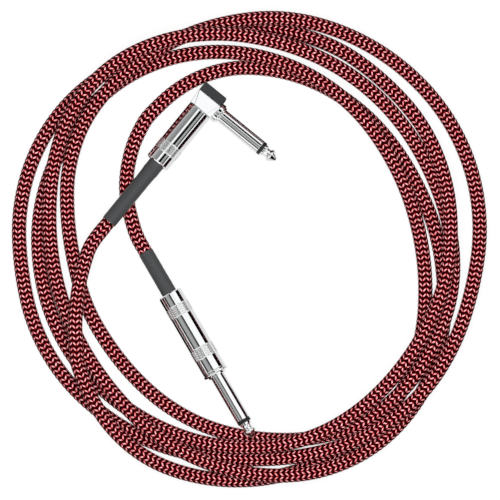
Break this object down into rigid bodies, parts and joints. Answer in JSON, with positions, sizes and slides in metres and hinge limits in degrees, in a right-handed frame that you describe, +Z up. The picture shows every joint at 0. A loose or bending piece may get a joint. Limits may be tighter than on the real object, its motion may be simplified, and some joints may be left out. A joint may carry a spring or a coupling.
{
  "type": "instrument cable",
  "caption": "Coiled instrument cable in a braided sleeve, with a straight jack plug at one end and a right-angle jack plug at the other, both with screw-on barrels.",
  "frame": {"origin": "on the table, below the middle of the two plugs' common box", "axes": "+Z up, +Y towards the side of the coil where the right-angle plug's head lies, +X towards the coil's middle from the plugs, as seen from above in the picture"},
  "size_m": [0.2177, 0.2157, 0.0201],
  "materials": {
    "braided_cord": "woven red and black braid, satin",
    "chromed_brass": "polished chrome plate",
    "black_plastic": "moulded, satin to gloss",
    "heat_shrink": "satin",
    "liner_plastic": "milky, matte",
    "tinned_brass": "tin-plated, satin",
    "core_insulation": "satin",
    "bare_copper": "bare strands",
    "solder": "bright solder"
  },
  "bodies": {
    "cable": {"cable_coil": "braided_cord", "cable_lead_angle": "braided_cord", "cable_lead_straight": "braided_cord", "straight_cable_end": "braided_cord", "angle_cable_end": "braided_cord", "straight_tip": "chromed_brass", "straight_sleeve": "chromed_brass", "angle_tip": "chromed_brass", "angle_sleeve": "chromed_brass", "angle_head": "chromed_brass", "straight_tip_insulator": "black_plastic", "straight_rear_insulator": "black_plastic", "angle_tip_insulator": "black_plastic", "angle_rear_insulator": "black_plastic", "angle_cap": "black_plastic", "straight_heat_shrink": "heat_shrink", "angle_heat_shrink": "heat_shrink", "straight_tip_lug": "tinned_brass", "straight_ground_lug": "tinned_brass", "angle_tip_lug": "tinned_brass", "angle_ground_lug": "tinned_brass", "straight_core": "core_insulation", "angle_core": "core_insulation", "straight_core_wire": "bare_copper", "straight_shield_pigtail": "bare_copper", "angle_core_wire": "bare_copper", "angle_shield_pigtail": "bare_copper", "straight_tip_solder": "solder", "straight_shield_solder": "solder", "angle_tip_solder": "solder", "angle_shield_solder": "solder"},
    "straight_liner": {"straight_liner": "liner_plastic"},
    "straight_barrel": {"straight_barrel": "chromed_brass"},
    "angle_liner": {"angle_liner": "liner_plastic"},
    "angle_barrel": {"angle_barrel": "chromed_brass"}
  },
  "joints": [
    {"name": "straight_barrel_slide", "type": "slide", "parent": "cable", "child": "straight_liner", "axis": [-0.5028, 0.8618, -0.0663], "range_m": [0, 0.007]},
    {"name": "straight_barrel_turn", "type": "hinge", "parent": "straight_liner", "child": "straight_barrel", "pos_m": [-0.0091, -0.01533, 0.00549], "axis": [-0.5028, 0.8618, -0.0663], "range_deg": [0, 2520]},
    {"name": "angle_barrel_slide", "type": "slide", "parent": "cable", "child": "angle_liner", "axis": [-0.6306, -0.7732, 0.0663], "range_m": [0, 0.006]},
    {"name": "angle_barrel_turn", "type": "hinge", "parent": "angle_liner", "child": "angle_barrel", "pos_m": [-0.01482, 0.04359, 0.00878], "axis": [-0.6306, -0.7732, 0.0663], "range_deg": [0, 2160]}
  ],
  "couplings": [
    {"joint": "straight_barrel_slide", "follows": "straight_barrel_turn", "m_per_rad": 0.00015915},
    {"joint": "angle_barrel_slide", "follows": "angle_barrel_turn", "m_per_rad": 0.00015915}
  ]
}
